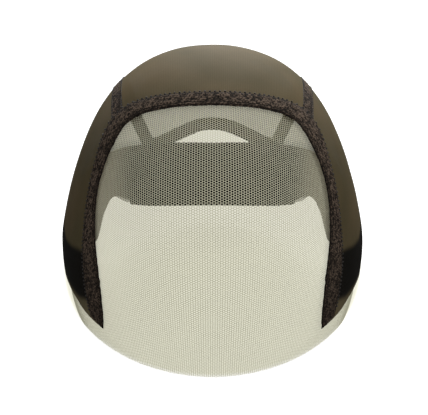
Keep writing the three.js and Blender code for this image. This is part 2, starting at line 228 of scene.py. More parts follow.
def head_normals(directions):
    upright = np.abs(directions[:, 2:3]) < 0.9
    pole = np.where(upright, np.array([[0.0, 0.0, 1.0]]), np.array([[0.0, 1.0, 0.0]]))
    across = unit(np.cross(directions, pole))
    down = np.cross(directions, across)
    here = head_points(directions)
    first = head_points(unit(directions + across * NORMAL_STEP)) - here
    second = head_points(unit(directions + down * NORMAL_STEP)) - here
    return unit(np.cross(first, second))


def above_head(directions, heights):
    """Points at heights above the head, in the cap's own frame."""
    points = head_points(directions) + head_normals(directions) * np.reshape(heights, (-1, 1))
    points[:, 2] -= SEAT_HEIGHT
    return points


class Line:
    """Smooth line on the head through a table's rows, kept as directions."""

    def __init__(self, directions):
        first = 2 * directions[0] - directions[1]
        last = 2 * directions[-1] - directions[-2]
        ends = np.vstack([first, directions, last])
        rows = np.linspace(0, len(directions) - 1, LINE_SAMPLES + 1)
        index = np.minimum(rows.astype(int), len(directions) - 2)
        share = (rows - index)[:, None]
        before, here, after, beyond = (ends[index + step] for step in range(4))
        points = 0.5 * (
            2 * here
            + (after - before) * share
            + (2 * before - 5 * here + 4 * after - beyond) * share**2
            + (3 * here - before - 3 * after + beyond) * share**3
        )
        steps = np.linalg.norm(np.diff(points, axis=0), axis=1)
        self.points = points
        self.rows = rows
        self.shares = np.concatenate([[0], np.cumsum(steps)]) / steps.sum()

    def at(self, share):
        columns = [np.interp(share, self.shares, self.points[:, axis]) for axis in range(3)]
        return unit(np.stack(columns, axis=-1).reshape(-1, 3))

    def share_at_row(self, row):
        return float(np.interp(row, self.rows, self.shares))

    def column_at(self, share, values):
        return np.interp(np.interp(share, self.shares, self.rows), np.arange(len(values)), values)

    def beside(self, share, distance):
        """Directions at a distance in metres to the left of the line's run."""
        here = self.at(share)
        behind = head_points(self.at(np.maximum(0, share - LINE_STEP)))
        ahead = head_points(self.at(np.minimum(1, share + LINE_STEP)))
        left = np.cross(head_normals(here), unit(ahead - behind))
        return unit(head_points(here) + left * np.reshape(distance, (-1, 1)))

    def length(self):
        return float(np.linalg.norm(np.diff(head_points(unit(self.points)), axis=0), axis=1).sum())


def crown_line(rows, side):
    table = np.array(rows)
    return Line(over_crown(table[:, 0], table[:, 1], side))


def mirrored_crown_line(rows):
    """Line from the wearer's right over the middle to the left."""
    table = np.array(rows)
    right = over_crown(table[:, 0], table[:, 1], RIGHT)
    left = over_crown(table[:, 0], table[:, 1], LEFT)
    return Line(np.vstack([right, left[-2::-1]]))


def level_line(rows, column, side):
    table = np.array(rows)
    return Line(round_head(table[:, 0], table[:, column], side))


def mirrored_level_line(rows, column):
    table = np.array(rows)
    right = round_head(table[:, 0], table[:, column], RIGHT)
    left = round_head(table[:, 0], table[:, column], LEFT)
    return Line(np.vstack([right, left[-2::-1]]))


def between(first, second, share):
    """Directions between two sets, at shares of the angles between them."""
    share = np.reshape(share, (-1, 1))
    angle = np.arccos(np.clip((first * second).sum(axis=1), -1, 1))[:, None]
    return unit(first * np.sin((1 - share) * angle) + second * np.sin(share * angle))


def inside_borders(near, far, start, end, u, v):
    """Directions inside four borders: near and far run alike, and so do start and end."""
    zero = np.zeros(1)
    one = np.ones(1)
    across = u[:, None]
    up = v[:, None]
    corners = (
        near(zero) * (1 - across) * (1 - up)
        + near(one) * across * (1 - up)
        + far(zero) * (1 - across) * up
        + far(one) * across * up
    )
    sides = near(u) * (1 - up) + far(u) * up + start(v) * (1 - across) + end(v) * across
    return unit(sides - corners)


def border(line, first, last, distance=0.0):
    """Part of a line as a border that runs from 0 to 1, moved sideways by a distance."""
    return lambda share: line.beside(first + (last - first) * share, np.full(len(share), distance))


def fitted(line, first, last, start, finish):
    """Part of a line as a border, shifted so that it starts and ends in two given places."""
    zero = np.zeros(1)
    one = np.ones(1)
    plain = lambda share: line.at(first + (last - first) * share)
    start_shift = start - plain(zero)
    finish_shift = finish - plain(one)
    return lambda share: unit(
        plain(share) + start_shift * (1 - share[:, None]) + finish_shift * share[:, None]
    )


ARCH = mirrored_crown_line(ARCH_ROWS)
ARCH_WIDTHS = [row[2] for row in ARCH_ROWS] + [row[2] for row in ARCH_ROWS[-2::-1]]
CROWN_EDGE = mirrored_crown_line(CROWN_EDGE_ROWS)
SEAMS = {side: crown_line(SEAM_ROWS, side) for side in (LEFT, RIGHT)}
CORNER_SHARE = ARCH.share_at_row(SEAM_START_ROW)
TUCK_SHARE = ARCH.share_at_row(TUCK_ROW)
NAPE_SHARE = SEAMS[RIGHT].share_at_row(SEAM_AT_NAPE_ROW)
SIDE_NAMES = {LEFT: "left", RIGHT: "right"}


def arch_share(share, side):
    return share if side == RIGHT else 1 - share


class Value:
    """A number socket in a material, used in plain arithmetic."""

    def __init__(self, paint, socket):
        self.paint = paint
        self.socket = socket

    def maths(self, operation, first, second=0.0):
        return Value(self.paint, self.paint.node("ShaderNodeMath", {"operation": operation}, {0: first, 1: second}))

    def __add__(self, other):
        return self.maths("ADD", self, other)

    def __radd__(self, other):
        return self.maths("ADD", other, self)

    def __sub__(self, other):
        return self.maths("SUBTRACT", self, other)

    def __rsub__(self, other):
        return self.maths("SUBTRACT", other, self)

    def __mul__(self, other):
        return self.maths("MULTIPLY", self, other)

    def __rmul__(self, other):
        return self.maths("MULTIPLY", other, self)

    def __pow__(self, other):
        return self.maths("POWER", self, other)


class Paint:
    """A material and the nodes in it."""

    def __init__(self, name):
        self.material = bpy.data.materials.new(name)
        self.material.use_nodes = True
        self.tree = self.material.node_tree
        self.surface = self.tree.nodes["Principled BSDF"]

    def node(self, kind, settings=None, inputs=None, output=0):
        """Adds a node, with its settings set first and its inputs next, and gives an output."""
        made = self.tree.nodes.new(kind)
        for name, value in (settings or {}).items():
            if name == "stops":
                self.set_stops(made.color_ramp, value)
            else:
                setattr(made, name, value)
        for name, value in (inputs or {}).items():
            self.join(made.inputs[name], value)
        return made.outputs[output]

    def set_stops(self, ramp, stops):
        while len(ramp.elements) < len(stops):
            ramp.elements.new(1.0)
        for element, (place, colour) in zip(ramp.elements, stops):
            element.position = place
            element.color = (*colour, 1.0) if len(colour) == 3 else colour

    def join(self, socket, value):
        if isinstance(value, Value):
            value = value.socket
        if isinstance(value, bpy.types.NodeSocket):
            self.tree.links.new(value, socket)
        else:
            socket.default_value = value

    def value(self, kind, settings=None, inputs=None, output=0):
        return Value(self, self.node(kind, settings, inputs, output))

    def rise(self, value, low, high):
        """Smooth step of a value, from 0 at low to 1 at high."""
        ends = {0: value, 1: low, 2: high, 3: 0.0, 4: 1.0}
        return self.value("ShaderNodeMapRange", {"interpolation_type": "SMOOTHSTEP"}, ends)

    def set(self, **inputs):
        """Sets the surface's sockets, whose names are written with low lines for spaces."""
        for name, value in inputs.items():
            self.join(self.surface.inputs[name.replace("_", " ").title().replace("Ior", "IOR")], value)

    def place(self):
        return self.node("ShaderNodeTexCoord", output=3)

    def flat(self):
        return self.node("ShaderNodeUVMap", {"uv_map": "cloth"})

    def noise(self, where, scale, detail=2.0, roughness=0.5):
        inputs = {"Vector": where, "Scale": scale, "Detail": detail, "Roughness": roughness}
        return self.value("ShaderNodeTexNoise", None, inputs)

    def attribute(self, name):
        return self.value("ShaderNodeAttribute", {"attribute_name": name}, None, 2)

    def mix(self, share, first, second):
        inputs = {0: share, 6: (*first, 1.0) if isinstance(first, tuple) else first}
        inputs[7] = (*second, 1.0) if isinstance(second, tuple) else second
        return self.node("ShaderNodeMix", {"data_type": "RGBA"}, inputs, 2)

    def ramp(self, share, stops):
        return self.node("ShaderNodeValToRGB", {"stops": stops}, {0: share})

    def bump(self, height, distance, strength=1.0):
        inputs = {"Height": height, "Distance": distance, "Strength": strength}
        self.set(normal=self.node("ShaderNodeBump", None, inputs))


def shade(colour, share):
    return tuple(channel * share for channel in colour)


def greener(colour, share):
    """The colour at a share of its brightness, with less red in it."""
    red, green, blue = shade(colour, share)
    return (red * 0.94, green * 1.03, blue)


class WigCapLooks(bpy.types.PropertyGroup):
    """Sizes and colours of the cap's cloth."""

    net_pitch: FloatProperty(
        name="Net pitch",
        description="Distance between the middles of two neighbouring holes of the lace",
        default=0.00116,
        unit="LENGTH",
    )
    net_thread: FloatProperty(
        name="Net thread",
        description="Width of a thread of the lace",
        default=0.00028,
        unit="LENGTH",
    )
    net_ridge: FloatProperty(
        name="Net thread height",
        description="How far the middle of a thread stands over its edges",
        default=0.00012,
        unit="LENGTH",
    )
    mesh_thickness: FloatProperty(
        name="Mesh thickness",
        description="Thickness of the stretch mesh",
        default=0.0004,
        unit="LENGTH",
    )
    velvet_thickness: FloatProperty(
        name="Velvet thickness",
        description="Thickness of the velvet with its pile",
        default=0.0009,
        unit="LENGTH",
    )
    tape_thickness: FloatProperty(
        name="Tape thickness",
        description="Thickness of the elastic tapes",
        default=0.0008,
        unit="LENGTH",
    )
    arch_tape_width: FloatProperty(
        name="Arch tape width",
        description="Width of the tape that frames the lace, where its share is 1",
        default=0.011,
        unit="LENGTH",
    )
    seam_tape_width: FloatProperty(
        name="Seam tape width",
        description="Width of the tapes over the two seams of the crown",
        default=0.0068,
        unit="LENGTH",
    )
    edge_tape_width: FloatProperty(
        name="Crown edge tape width",
        description="Width of the tape round the rear edge of the crown panel",
        default=0.0095,
        unit="LENGTH",
    )
    loop_pitch: FloatProperty(
        name="Knit pitch",
        description="Distance between two loops of the tapes' knit",
        default=0.0013,
        unit="LENGTH",
    )
    stitch_pitch: FloatProperty(
        name="Stitch pitch",
        description="Distance from one stitch of a seam to the next",
        default=0.0023,
        unit="LENGTH",
    )
    seed: IntProperty(name="Seed", description="Start of the random draws", default=7)
    lace_colour: FloatVectorProperty(
        name="Lace", description="Colour of the net", subtype="COLOR", default=(0.66, 0.645, 0.475)
    )
    mesh_colour: FloatVectorProperty(
        name="Mesh", description="Colour of the mesh", subtype="COLOR", default=(0.113, 0.084, 0.043)
    )
    # Painted light: the mesh at the back is painted in this lighter colour, standing in for light shining through
    # it
    painted_backlight_colour: FloatVectorProperty(
        name="Sheer mesh",
        description="Colour of the mesh at the back, where light comes through it",
        subtype="COLOR",
        default=(0.2, 0.16, 0.07),
    )
    shadow_colour: FloatVectorProperty(
        name="Backed mesh",
        description="Colour of the mesh where velvet lies right behind it",
        subtype="COLOR",
        default=(0.006, 0.005, 0.0035),
    )
    tape_colour: FloatVectorProperty(
        name="Tape", description="Colour of the tapes", subtype="COLOR", default=(0.066, 0.048, 0.035)
    )
    velvet_colour: FloatVectorProperty(
        name="Velvet", description="Colour of the velvet", subtype="COLOR", default=(0.01, 0.008, 0.007)
    )
    # Painted sheen: the velvet behind the ears, beside the nape band, is painted in this beige, standing in for
    # light grazing its pile; the velvet itself is near black
    painted_sheen_colour: FloatVectorProperty(
        name="Velvet lobes",
        description="Colour of the velvet behind the ears, which is worn lighter",
        subtype="COLOR",
        default=(0.4, 0.345, 0.25),
    )


def looks():
    return bpy.context.scene.wig_cap_looks


def coordinates(mesh):
    found = np.zeros(len(mesh.vertices) * 3)
    mesh.vertices.foreach_get("co", found)
    return found.reshape(-1, 3)


def place_vertices(mesh, points):
    mesh.vertices.foreach_set("co", points.ravel())
    mesh.update()


def write_flat_map(mesh, flat):
    """Keeps each vertex's place on the flat cloth, in metres, as the UV map named cloth."""
    corners = np.zeros(len(mesh.loops), dtype=int)
    mesh.loops.foreach_get("vertex_index", corners)
    layer = mesh.uv_layers.new(name="cloth")
    layer.data.foreach_set("uv", flat[corners].ravel())


def write_attribute(mesh, name, values):
    layer = mesh.attributes.new(name, "FLOAT", "POINT")
    layer.data.foreach_set("value", values.astype(np.float32))


def face_outwards(mesh):
    """Turns the faces of an open cloth away from the middle of the head."""
    normals = np.zeros(len(mesh.polygons) * 3)
    middles = np.zeros(len(mesh.polygons) * 3)
    mesh.polygons.foreach_get("normal", normals)
    mesh.polygons.foreach_get("center", middles)
    away = middles.reshape(-1, 3) + np.array([0, 0, SEAT_HEIGHT])
    if (normals.reshape(-1, 3) * away).sum() < 0:
        mesh.flip_normals()


def smooth(mesh):
    mesh.polygons.foreach_set("use_smooth", np.ones(len(mesh.polygons), dtype=bool))


def finish_piece(name, mesh, paint, slot, *nodes):
    """Makes a finished mesh a piece of the cap that stands for its solids."""
    piece = bpy.data.objects.new(name, mesh)
    bpy.context.scene.collection.objects.link(piece)
    mesh.materials.append(paint.material)
    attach(piece, "root")
    if nodes:
        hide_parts(*nodes)
    return piece


def cloth_grid(name, columns, rows, place, lengths):
    """Open cloth: place gives its points from two shares, and lengths are its flat sides."""
    form = bmesh.new()
    bmesh.ops.create_grid(form, x_segments=columns, y_segments=rows, size=0.5)
    mesh = bpy.data.meshes.new(name)
    form.to_mesh(mesh)
    form.free()
    shares = coordinates(mesh)[:, :2] + 0.5
    place_vertices(mesh, place(shares[:, 0], shares[:, 1]))
    write_flat_map(mesh, shares * np.array(lengths))
    face_outwards(mesh)
    smooth(mesh)
    return mesh


def thicken(piece, thickness):
    """Gives an open cloth its wall, inwards from its outer face."""
    wall = piece.modifiers.new("wall", "SOLIDIFY")
    wall.thickness = thickness
    wall.offset = -1
    wall.use_rim = True


def ripples(u, v, seed, waves=9, reach=5.0):
    """Soft uneven waves over a cloth, between about -1 and 1."""
    draws = np.random.default_rng(seed)
    total = np.zeros(len(u))
    for _ in range(waves):
        across, up = draws.uniform(-reach, reach, 2)
        total += np.sin(2 * math.pi * (across * u + up * v + draws.uniform()))
    return total / math.sqrt(waves * 2)


# Lace


def net_basis():
    middle = over_crown(NET_MIDDLE_ALONG, 0, LEFT)
    across = np.array([1.0, 0.0, 0.0])
    return middle, across, np.cross(middle, across) * -1


def net_direction(flat):
    """Direction on the head of a place on the flat net."""
    middle, across, up = net_basis()
    angles = flat / np.array([NET_RADIUS_ACROSS, NET_RADIUS_ALONG])
    reach = np.maximum(np.linalg.norm(angles, axis=1), 1e-9)[:, None]
    sideways = angles[:, :1] * across + angles[:, 1:] * up
    return unit(np.cos(reach) * middle + np.sin(reach) / reach * sideways)


def net_place(directions):
    """Place on the flat net of a direction on the head."""
    middle, across, up = net_basis()
    reach = np.arccos(np.clip(directions @ middle, -1, 1))
    stretch = reach / np.maximum(np.sin(reach), 1e-9)
    sides = np.stack([directions @ across, directions @ up], axis=-1) * stretch[:, None]
    return sides * np.array([NET_RADIUS_ACROSS, NET_RADIUS_ALONG])


def lace_outline():
    """Outline of the whole lace on the flat net: up under the tape, and along its free edge."""
    samples = np.linspace(0, 1, 160)
    arch = ARCH.at(TUCK_SHARE + (1 - 2 * TUCK_SHARE) * samples)
    parts = [net_place(arch)]
    for side, run in ((LEFT, samples), (RIGHT, samples[::-1])):
        top = round_head(np.array([WING_END]), np.array([WING_TOP]), side)
        hem = net_place(level_line(LACE_HEM_ROWS, 1, side).at(run))
        top = net_place(top)
        parts.append(np.vstack([top, hem] if side == LEFT else [hem, top]))
    return np.vstack(parts)


def inside_outline(places, outline):
    """Whether each flat place lies inside a closed outline."""
    crossings = np.zeros(len(places), dtype=int)
    for first, last in zip(outline, np.roll(outline, -1, axis=0)):
        spans = (first[1] > places[:, 1]) != (last[1] > places[:, 1])
        if spans.any():
            slope = (last[0] - first[0]) / (last[1] - first[1])
            crossings += spans & (places[:, 0] < first[0] + slope * (places[:, 1] - first[1]))
    return crossings % 2 == 1


def pulled_inside(places, outline):
    """The places, with each one outside the outline moved to the nearest point on it."""
    outside = np.flatnonzero(~inside_outline(places, outline))
    best = np.full(len(outside), np.inf)
    moved = places[outside].copy()
    for first, last in zip(outline, np.roll(outline, -1, axis=0)):
        run = last - first
        share = np.clip((places[outside] - first) @ run / max(run @ run, 1e-12), 0, 1)
        near = first + share[:, None] * run
        gap = np.linalg.norm(places[outside] - near, axis=1)
        nearer = gap < best
        best[nearer] = gap[nearer]
        moved[nearer] = near[nearer]
    result = places.copy()
    result[outside] = moved
    return result


def hexagon_net(pitch, thread, low, high):
    """Flat net of hexagonal holes from a low to a high corner, with two rows of points a thread."""
    form = bmesh.new()
    made = bmesh.ops.create_circle(form, cap_ends=True, segments=6, radius=pitch / math.sqrt(3))
    turn = Matrix.Rotation(math.radians(30), 3, "Z")
    bmesh.ops.rotate(form, verts=made["verts"], cent=(0, 0, 0), matrix=turn)
    hole = form.faces[:]
    bmesh.ops.inset_individual(form, faces=hole, thickness=thread / 2, use_even_offset=True)
    bmesh.ops.delete(form, geom=hole, context="FACES_ONLY")
    column = pitch * math.sqrt(3) / 2
    repeat(form, (0, pitch), high[1] - low[1])
    doubled = bmesh.ops.duplicate(form, geom=form.faces[:])["geom"]
    verts = [part for part in doubled if isinstance(part, bmesh.types.BMVert)]
    bmesh.ops.translate(form, verts=verts, vec=(column, pitch / 2, 0))
    repeat(form, (2 * column, 0), high[0] - low[0])
    bmesh.ops.translate(form, verts=form.verts[:], vec=(low[0], low[1], 0))
    bmesh.ops.remove_doubles(form, verts=form.verts[:], dist=pitch / 50)
    return form


def repeat(form, step, reach):
    """Repeats all of a form along a step, doubling it until it covers a reach."""
    covered = math.hypot(*step)
    count = 1
    while covered < reach:
        doubled = bmesh.ops.duplicate(form, geom=form.faces[:])["geom"]
        verts = [part for part in doubled if isinstance(part, bmesh.types.BMVert)]
        bmesh.ops.translate(form, verts=verts, vec=(step[0] * count, step[1] * count, 0))
        covered *= 2
        count *= 2


def lace_paint():
    paint = Paint("ivory_net")
    colour = tuple(looks().lace_colour)
    cloud = paint.noise(paint.place(), 30.0, 3.0)
    paint.set(
        base_color=paint.mix(cloud, shade(colour, 0.92), shade(colour, 1.08)),
        roughness=0.6,
    )
    return paint


class WIGCAP_OT_lace_net(bpy.types.Operator):
    """Lays the hexagonal net of the lace front, in a left and a right half"""

    bl_idname = "wigcap.lace_net"
    bl_label = "Lace net"

    def execute(self, context):
        sizes = looks()
        outline = lace_outline()
        paint = lace_paint()
        margin = np.full(2, 2 * sizes.net_pitch)
        low = outline.min(axis=0) - margin
        high = outline.max(axis=0) + margin
        form = hexagon_net(sizes.net_pitch, sizes.net_thread, low, high)
        whole = bpy.data.meshes.new("lace_net")
        form.to_mesh(whole)
        form.free()
        flat = coordinates(whole)[:, :2]
        inside = inside_outline(flat, outline)
        for side in (LEFT, RIGHT):
            self.lay_half(whole, flat, inside, outline, side, paint)
        bpy.data.meshes.remove(whole)
        return {"FINISHED"}

    def lay_half(self, whole, flat, inside, outline, side, paint):
        """Keeps the cells of one half that reach into the outline, and lays them on the head."""
        sizes = looks()
        form = bmesh.new()
        form.from_mesh(whole)
        form.verts.ensure_lookup_table()
        beyond = []
        for face in form.faces:
            spots = [vert.index for vert in face.verts]
            kept = inside[spots].any() and side * flat[spots, 0].mean() > 0
            if not kept:
                beyond.append(face)
        bmesh.ops.delete(form, geom=beyond, context="FACES")
        mesh = bpy.data.meshes.new(f"lace_net_{SIDE_NAMES[side]}")
        middles = np.zeros(len(form.verts))
        for row, vert in enumerate(form.verts):
            middles[row] = len(vert.link_faces) > 2
        form.to_mesh(mesh)
        form.free()
        places = pulled_inside(coordinates(mesh)[:, :2], outline)
        heights = LACE_INSIDE + CLOTH_LAYER / 2 + middles * sizes.net_ridge
        place_vertices(mesh, above_head(net_direction(places), heights))
        write_flat_map(mesh, places)
        face_outwards(mesh)
        finish_piece(mesh.name, mesh, paint, "lace", "lace_front")


# Stretch mesh


def mesh_paint():
    """Sheer dark knit that lets more light through at the back, where it is stretched most. There its colour is
    also painted lighter, a painted light that stands in for light shining through it.
    """
    paint = Paint("stretch_mesh")
    sizes = looks()
    colour = tuple(sizes.mesh_colour)
    where = paint.place()
    flat = paint.flat()
    depth = paint.value("ShaderNodeSeparateXYZ", None, {0: where}, 1)
    height = paint.value("ShaderNodeSeparateXYZ", None, {0: where}, 2)
    rear = paint.rise(depth, 0.035, 0.06) * paint.rise(height * -1, 0.03, 0.05)
    backed = paint.attribute("backed")
    cloud = paint.noise(where, 22.0, 3.0)
    grain = paint.noise(flat, 900.0, 1.0)
    ribs = paint.value(
        "ShaderNodeTexWave",
        {"wave_type": "BANDS", "bands_direction": "X"},
        {"Vector": flat, "Scale": 260.0, "Distortion": 0.6, "Detail": 1.0},
    )
    weave = ribs * 0.5 + grain * 0.5
    cloth = paint.mix(paint.rise(cloud * 0.8 + weave * 0.2, 0.3, 0.7), greener(colour, 0.84), shade(colour, 1.16))
    # Painted light: towards the back the cloth's colour turns to the lighter painted backlight colour
    cloth_with_painted_backlight = paint.mix(rear, cloth, tuple(sizes.painted_backlight_colour))
    paint.set(
        base_color=paint.mix(backed, cloth_with_painted_backlight, tuple(sizes.shadow_colour)),
        roughness=0.75,
        alpha=0.86 - 0.44 * rear + 0.06 * (weave - 0.5) + 0.1 * backed,
        specular_ior_level=0.05,
    )
    return paint


def backed_by_velvet(directions, side):
    """Whether a side grip lies right behind each direction: 1 well inside its edges, else 0."""
    azimuth = np.degrees(np.arctan2(side * directions[:, 0], -directions[:, 1]))
    lift = np.degrees(np.arcsin(directions[:, 2]))
    rows = np.array(SIDE_GRIP_ROWS + NAPE_BAND_ROWS[1:])
    under_top = np.interp(azimuth, rows[:, 0], rows[:, 1]) + 1 - lift
    over_foot = lift - np.interp(azimuth, rows[:, 0], rows[:, 2])
    inside = np.minimum(np.minimum(under_top, over_foot), azimuth - rows[0, 0])
    share = np.clip(inside / BACKED_EDGE + 0.5, 0, 1)
    return share * share * (3 - 2 * share)


class WIGCAP_OT_mesh_panels(bpy.types.Operator):
    """Lays the sheer stretch mesh over the crown and beside and behind the ears"""

    bl_idname = "wigcap.mesh_panels"
    bl_label = "Mesh panels"

    clearance = 0.001
    columns = 120
    rows = 110

    def execute(self, context):
        paint = mesh_paint()
        self.lay("crown_panel_mesh", self.crown_borders(), "crown_panel", paint, 3)
        for side in (LEFT, RIGHT):
            name = SIDE_NAMES[side]
            borders = self.side_borders(side)
            mesh = self.lay(f"side_panel_mesh_{name}", borders, f"side_panel_{name}", paint, 5 + side)
            directions = unit(coordinates(mesh) + np.array([0, 0, SEAT_HEIGHT]))
            write_attribute(mesh, "backed", backed_by_velvet(directions, side))
        return {"FINISHED"}

    def lay(self, name, borders, node, paint, seed):
        near, far, start, end = borders
        height = MESH_INSIDE + CLOTH_LAYER * 0.6

        def place(u, v):
            uneven = 0.00012 * ripples(u, v, looks().seed + seed)
            return above_head(inside_borders(near, far, start, end, u, v), height + uneven)

        lengths = (0.14, 0.12)
        mesh = cloth_grid(name, self.columns, self.rows, place, lengths)
        piece = finish_piece(name, mesh, paint, "mesh", node)
        thicken(piece, looks().mesh_thickness)
        return mesh

    def crown_borders(self):
        start = border(SEAMS[RIGHT], 0, NAPE_SHARE, -self.clearance)
        end = border(SEAMS[LEFT], 0, NAPE_SHARE, self.clearance)
        zero = np.zeros(1)
        one = np.ones(1)
        front = fitted(ARCH, CORNER_SHARE, 1 - CORNER_SHARE, start(zero), end(zero))
        rear = fitted(CROWN_EDGE, 0, 1, start(one), end(one))
        return front, rear, start, end

    def side_borders(self, side):
        seam = SEAMS[side]
        zero = np.zeros(1)
        one = np.ones(1)
        outwards = -side * self.clearance
        front = border(ARCH, arch_share(0, side), arch_share(CORNER_SHARE, side))
        top = border(seam, 0, NAPE_SHARE, outwards)
        rear = border(seam, 1, NAPE_SHARE, outwards)
        bottom = fitted(level_line(HEM_ROWS, 1, side), 0, 1, front(zero), rear(zero))
        shift = front(one) - top(zero)
        fitted_top = lambda share: unit(top(share) + shift * (1 - share[:, None]))
        return bottom, fitted_top, front, rear


# Tapes


def tape_paint():
    """Knitted elastic whose raised loops are lighter than the gaps between them, as painted shade, with random
    speckle; the tapes are also painted lighter high on the cap than at the temples, as painted light.
    """
    paint = Paint("knitted_elastic")
    colour = tuple(looks().tape_colour)
    fibre = paint.noise(paint.flat(), 5200.0, 2.0)
    speckle = paint.noise(paint.flat(), 1250.0, 1.0)
    # Painted shade: gaps between loops, the stitch grooves and the tape's rounded edges are darker, mixed with
    # random speckle
    loop_shade_and_speckle = paint.rise(paint.attribute("knit") * 0.8 + speckle * 1.3, 0.66, 1.28)
    # Painted light: the tapes are painted lighter high on the cap than low at the temples, following where the
    # light falls
    height = paint.value("ShaderNodeSeparateXYZ", None, {0: paint.place()}, 2)
    painted_height_light = paint.mix(paint.rise(height, -0.1, -0.05), shade(colour, 1.3), shade(colour, 2.3))
    paint.set(
        base_color=paint.mix(loop_shade_and_speckle, shade(colour, 0.1), painted_height_light),
        roughness=0.9,
        specular_ior_level=0.08,
    )
    paint.bump(fibre, 0.00008, 0.6)
    return paint


def knit_loops(along, across, pitch, seed):
    """Height of knitted loops at flat places, from 0 between them to 1 on the tallest."""
    heights = np.random.default_rng(seed).uniform(0.12, 1.0, 4096)
    row = np.floor(across / pitch).astype(int)
    shifted = along / (pitch * 1.1) + 0.5 * (row % 2)
    column = np.floor(shifted).astype(int)
    local_along = shifted - column - 0.5
    local_across = across / pitch - row - 0.5
    dome = np.cos(math.pi * local_along) * np.cos(math.pi * local_across)
    return np.sqrt(np.clip(dome, 0, 1)) * heights[(column * 71 + row * 389) % 4096]


class WIGCAP_OT_tapes(bpy.types.Operator):
    """Lays the knitted elastic tapes round the lace, over the seams and along the crown's edge"""

    bl_idname = "wigcap.tapes"
    bl_label = "Elastic tapes"

    top_points = 26
    under_points = 4
    step = 0.00042
    over_mesh = MESH_INSIDE + CLOTH_LAYER * 0.6 + 0.0005
    flush = MESH_INSIDE + CLOTH_LAYER * 0.6 - 0.0004
    front_spread = 0.36
    slant = 0.004
    slant_reach = 0.012

    def execute(self, context):
        sizes = looks()
        paint = tape_paint()
        arch_widths = lambda share: sizes.arch_tape_width * ARCH.column_at(share, ARCH_WIDTHS)
        self.lay("arch_tape_knit", ARCH, 0, 1, arch_widths, self.over_mesh, "arch_tape", paint)
        narrow = lambda share: sizes.seam_tape_width * (1 + self.front_spread * (1 - share) ** 2)
        wide = lambda share: np.full(len(share), sizes.edge_tape_width)
        for side in (LEFT, RIGHT):
            name = SIDE_NAMES[side]
            node = f"seam_tape_{name}"
            self.lay(f"seam_tape_knit_{name}", SEAMS[side], 0.012, 1, narrow, self.flush, node, paint)
        self.lay("crown_edge_tape_knit", CROWN_EDGE, 0, 1, wide, self.flush, "crown_edge_tape", paint)
        return {"FINISHED"}

    def lay(self, name, line, first, last, widths, lowest, node, paint):
        sizes = looks()
        around = self.top_points + self.under_points
        length = line.length() * (last - first)
        form = bmesh.new()
        bmesh.ops.create_grid(
            form, x_segments=int(length / self.step), y_segments=around, size=0.5
        )
        mesh = bpy.data.meshes.new(name)
        form.to_mesh(mesh)
        form.free()
        shares = coordinates(mesh)[:, :2] + 0.5
        run = first + (last - first) * shares[:, 0]
        turn = np.round(shares[:, 1] * around).astype(int) % around
        on_top = turn < self.top_points
        across = np.where(
            on_top,
            -1 + 2 * turn / (self.top_points - 1),
            1 - 2 * (turn - self.top_points + 1) / (self.under_points + 1),
        )
        if node == "arch_tape":
            from_start = np.exp(-shares[:, 0] * length / self.slant_reach)
            from_end = np.exp(-(1 - shares[:, 0]) * length / self.slant_reach)
            run = run + self.slant / length * (1 + across) / 2 * (from_start - from_end)
        half = widths(run) / 2
        frayed = 1 + 0.035 * ripples(shares[:, 0], across * 0, sizes.seed, 14, length / 0.004)
        flat_across = across * half
        loops = knit_loops(shares[:, 0] * length, flat_across, sizes.loop_pitch, sizes.seed)
        dome = np.sqrt(np.clip(1 - np.abs(across) ** 6, 0, 1))
        groove = self.grooves(half - np.abs(flat_across), flat_across)
        loops = loops * groove * dome
        body = sizes.tape_thickness * (0.55 * dome + 0.45 * loops)
        heights = lowest + np.where(on_top, body, 0.0)
        points = above_head(line.beside(run, flat_across * frayed), heights)
        place_vertices(mesh, points)
        write_flat_map(mesh, np.stack([shares[:, 0] * length, flat_across], axis=-1))
        # The knit attribute holds the loops' height, which the paint turns into painted shade; the underside gets a
        # fixed 0.9
        write_attribute(mesh, "knit", np.where(on_top, loops, 0.9))
        mesh = self.closed(mesh)
        finish_piece(name, mesh, paint, "tape", node)

    def grooves(self, from_edge, across):
        """Share of the loops' height left where the stitch lines press the tape down."""
        pressed = np.ones(len(across))
        for distance in (0.0008, 0.0024):
            pressed -= 0.9 * np.exp(-(((from_edge - distance) / 0.0004) ** 2)) * (across < 0)
        pressed -= 0.7 * np.exp(-(((from_edge - 0.0008) / 0.0004) ** 2)) * (across > 0)
        return np.clip(pressed, 0, 1)

    def closed(self, mesh):
        """Joins the tape's two long borders under it, and fills its two ends."""
        form = bmesh.new()
        form.from_mesh(mesh)
        bmesh.ops.remove_doubles(form, verts=form.verts[:], dist=1e-6)
        open_edges = [edge for edge in form.edges if edge.is_boundary]
        bmesh.ops.holes_fill(form, edges=open_edges, sides=0)
        bmesh.ops.recalc_face_normals(form, faces=form.faces[:])
        form.to_mesh(mesh)
        form.free()
        smooth(mesh)
        return mesh


# Velvet


def velvet_paint():
    paint = Paint("velvet")
    colour = tuple(looks().velvet_colour)
    pile = paint.noise(paint.place(), 1600.0, 3.0, 0.7)
    brushed = paint.noise(paint.place(), 45.0, 3.0)
    sideways = paint.value("ShaderNodeSeparateXYZ", None, {0: paint.place()}, 0)
    depth = paint.value("ShaderNodeSeparateXYZ", None, {0: paint.place()}, 1)
    # Painted sheen: beside the nape band the velvet's colour turns to the beige painted sheen colour
    lobes = paint.rise(sideways.maths("ABSOLUTE", sideways), 0.046, 0.062) * paint.rise(depth, 0.03, 0.06)
    pile_colour = paint.mix(brushed * 0.6 + pile * 0.4, shade(colour, 0.5), shade(colour, 1.8))
    paint.set(
        base_color=paint.mix(lobes, pile_colour, tuple(looks().painted_sheen_colour)),
        roughness=0.95,
        sheen_weight=0.35,
        sheen_roughness=0.4,
        sheen_tint=(0.35, 0.27, 0.3, 1.0),
        specular_ior_level=0.1,
    )
    paint.bump(pile, 0.0004, 0.8)
    return paint


